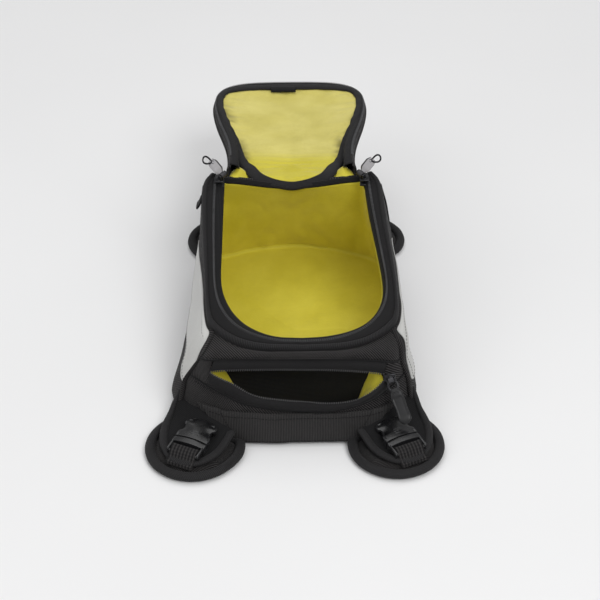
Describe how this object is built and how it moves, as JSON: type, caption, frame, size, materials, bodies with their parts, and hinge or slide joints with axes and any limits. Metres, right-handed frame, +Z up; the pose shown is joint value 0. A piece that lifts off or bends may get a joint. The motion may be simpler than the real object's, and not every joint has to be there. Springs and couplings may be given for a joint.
{
  "type": "tank bag",
  "caption": "Soft motorcycle tank bag with a zipped fold-back lid, yellow lining, a zipped end pocket, reflective side patches and round magnet wings with side-release buckles.",
  "frame": {"origin": "middle of the base underside, on the surface that the bag stands on", "axes": "+X to the right seen from the rider, +Y away from the rider towards the hinged side of the lid, +Z up"},
  "size_m": [0.2616, 0.5162, 0.1413],
  "materials": {
    "shell_fabric": "matt black twill",
    "trim_tape": "dark woven tape",
    "lining": "yellow coated lining",
    "reflective": "light grey reflective",
    "webbing": "ribbed webbing",
    "zip_teeth": "coil",
    "slider_metal": "black satin",
    "pull_grey": "moulded grey",
    "pull_black": "moulded black",
    "buckle": "moulded black",
    "board": "plain sheet",
    "magnet": "plain"
  },
  "bodies": {
    "bag": {"base_panel": "shell_fabric", "base_board": "board", "near_panel": "shell_fabric", "pocket_panel": "shell_fabric", "left_side_panel": "shell_fabric", "right_side_panel": "shell_fabric", "far_panel": "shell_fabric", "pocket_divider": "shell_fabric", "main_lining": "lining", "pocket_lining": "lining", "left_reflective_panel": "reflective", "right_reflective_panel": "reflective", "corner_pipings": "shell_fabric", "rim_zip_tape": "trim_tape", "rim_zip_teeth": "zip_teeth", "far_top_binding": "trim_tape", "pocket_upper_tape": "trim_tape", "pocket_lower_tape": "trim_tape", "pocket_zip_teeth": "zip_teeth", "pocket_zip_garage": "shell_fabric", "webbing_band": "webbing", "side_tag": "shell_fabric"},
    "lid": {"lid_shell": "shell_fabric", "lid_lining": "lining", "lid_binding": "trim_tape", "lid_zip_tape": "trim_tape", "lid_zip_teeth": "zip_teeth", "lid_label": "shell_fabric"},
    "left_lid_slider": {"left_lid_slider": "slider_metal"},
    "right_lid_slider": {"right_lid_slider": "slider_metal"},
    "left_lid_pull": {"left_lid_pull": "pull_grey"},
    "right_lid_pull": {"right_lid_pull": "pull_grey"},
    "pocket_slider": {"pocket_slider": "slider_metal"},
    "pocket_pull": {"pocket_pull": "pull_black"},
    "near_left_wing": {"near_left_wing_pad": "shell_fabric", "near_left_wing_binding": "trim_tape", "near_left_magnet": "magnet", "near_left_leaf": "shell_fabric", "near_left_strap": "webbing", "near_left_socket": "buckle"},
    "far_left_wing": {"far_left_wing_pad": "shell_fabric", "far_left_wing_binding": "trim_tape", "far_left_magnet": "magnet"},
    "left_clip": {"left_clip": "buckle", "left_clip_strap": "webbing"},
    "left_clip_inner_prong": {"left_clip_inner_prong": "buckle"},
    "left_clip_outer_prong": {"left_clip_outer_prong": "buckle"},
    "near_right_wing": {"near_right_wing_pad": "shell_fabric", "near_right_wing_binding": "trim_tape", "near_right_magnet": "magnet", "near_right_leaf": "shell_fabric", "near_right_strap": "webbing", "near_right_socket": "buckle"},
    "far_right_wing": {"far_right_wing_pad": "shell_fabric", "far_right_wing_binding": "trim_tape", "far_right_magnet": "magnet"},
    "right_clip": {"right_clip": "buckle", "right_clip_strap": "webbing"},
    "right_clip_inner_prong": {"right_clip_inner_prong": "buckle"},
    "right_clip_outer_prong": {"right_clip_outer_prong": "buckle"}
  },
  "joints": [
    {"name": "lid_hinge", "type": "hinge", "parent": "bag", "child": "lid", "pos_m": [0, 0.095, 0.121], "axis": [1, 0, 0], "range_deg": [0, 195.1]},
    {"name": "left_lid_slider_slide", "type": "slide", "parent": "bag", "child": "left_lid_slider", "axis": [-0.0267, -0.9823, -0.1856], "range_m": [0, 0.148]},
    {"name": "left_lid_pull_flip", "type": "hinge", "parent": "left_lid_slider", "child": "left_lid_pull", "pos_m": [-0.06651, 0.08538, 0.12346], "axis": [0.6388, 0.756, 0.1429], "range_deg": [-35, 50]},
    {"name": "right_lid_slider_slide", "type": "slide", "parent": "bag", "child": "right_lid_slider", "axis": [0.0267, -0.9823, -0.1856], "range_m": [0, 0.148]},
    {"name": "right_lid_pull_flip", "type": "hinge", "parent": "right_lid_slider", "child": "right_lid_pull", "pos_m": [0.06651, 0.08538, 0.12346], "axis": [0.6388, -0.756, -0.1429], "range_deg": [-35, 50]},
    {"name": "pocket_slider_slide", "type": "slide", "parent": "bag", "child": "pocket_slider", "axis": [-1, 0, 0], "range_m": [0, 0.145]},
    {"name": "pocket_pull_swing", "type": "hinge", "parent": "pocket_slider", "child": "pocket_pull", "pos_m": [0.082, -0.14097, 0.05402], "axis": [-0.9397, -0.1446, -0.3099], "range_deg": [0, 70]},
    {"name": "near_left_wing_bend", "type": "hinge", "parent": "bag", "child": "near_left_wing", "pos_m": [-0.084, -0.136, 0], "axis": [-0.6757, 0.7372, 0], "range_deg": [-50, 5]},
    {"name": "far_left_wing_bend", "type": "hinge", "parent": "bag", "child": "far_left_wing", "pos_m": [-0.0615, 0.124, 0], "axis": [0.9227, 0.3856, 0], "range_deg": [-50, 40]},
    {"name": "left_clip_release", "type": "slide", "parent": "near_left_wing", "child": "left_clip", "axis": [-0.4145, -0.91, 0], "range_m": [0, 0.026]},
    {"name": "left_clip_inner_squeeze", "type": "hinge", "parent": "left_clip", "child": "left_clip_inner_prong", "pos_m": [-0.08414, -0.1788, 0.0145], "axis": [0, 0, 1], "range_deg": [0, 8], "stiffness_Nm_per_rad": 0.05},
    {"name": "left_clip_outer_squeeze", "type": "hinge", "parent": "left_clip", "child": "left_clip_outer_prong", "pos_m": [-0.09906, -0.17201, 0.0145], "axis": [0, 0, -1], "range_deg": [0, 8], "stiffness_Nm_per_rad": 0.05},
    {"name": "near_right_wing_bend", "type": "hinge", "parent": "bag", "child": "near_right_wing", "pos_m": [0.084, -0.136, 0], "axis": [-0.6757, -0.7372, 0], "range_deg": [-50, 5]},
    {"name": "far_right_wing_bend", "type": "hinge", "parent": "bag", "child": "far_right_wing", "pos_m": [0.0615, 0.124, 0], "axis": [0.9227, -0.3856, 0], "range_deg": [-50, 40]},
    {"name": "right_clip_release", "type": "slide", "parent": "near_right_wing", "child": "right_clip", "axis": [0.4145, -0.91, 0], "range_m": [0, 0.026]},
    {"name": "right_clip_inner_squeeze", "type": "hinge", "parent": "right_clip", "child": "right_clip_inner_prong", "pos_m": [0.08414, -0.1788, 0.0145], "axis": [0, 0, -1], "range_deg": [0, 8], "stiffness_Nm_per_rad": 0.05},
    {"name": "right_clip_outer_squeeze", "type": "hinge", "parent": "right_clip", "child": "right_clip_outer_prong", "pos_m": [0.09906, -0.17201, 0.0145], "axis": [0, 0, 1], "range_deg": [0, 8], "stiffness_Nm_per_rad": 0.05}
  ]
}
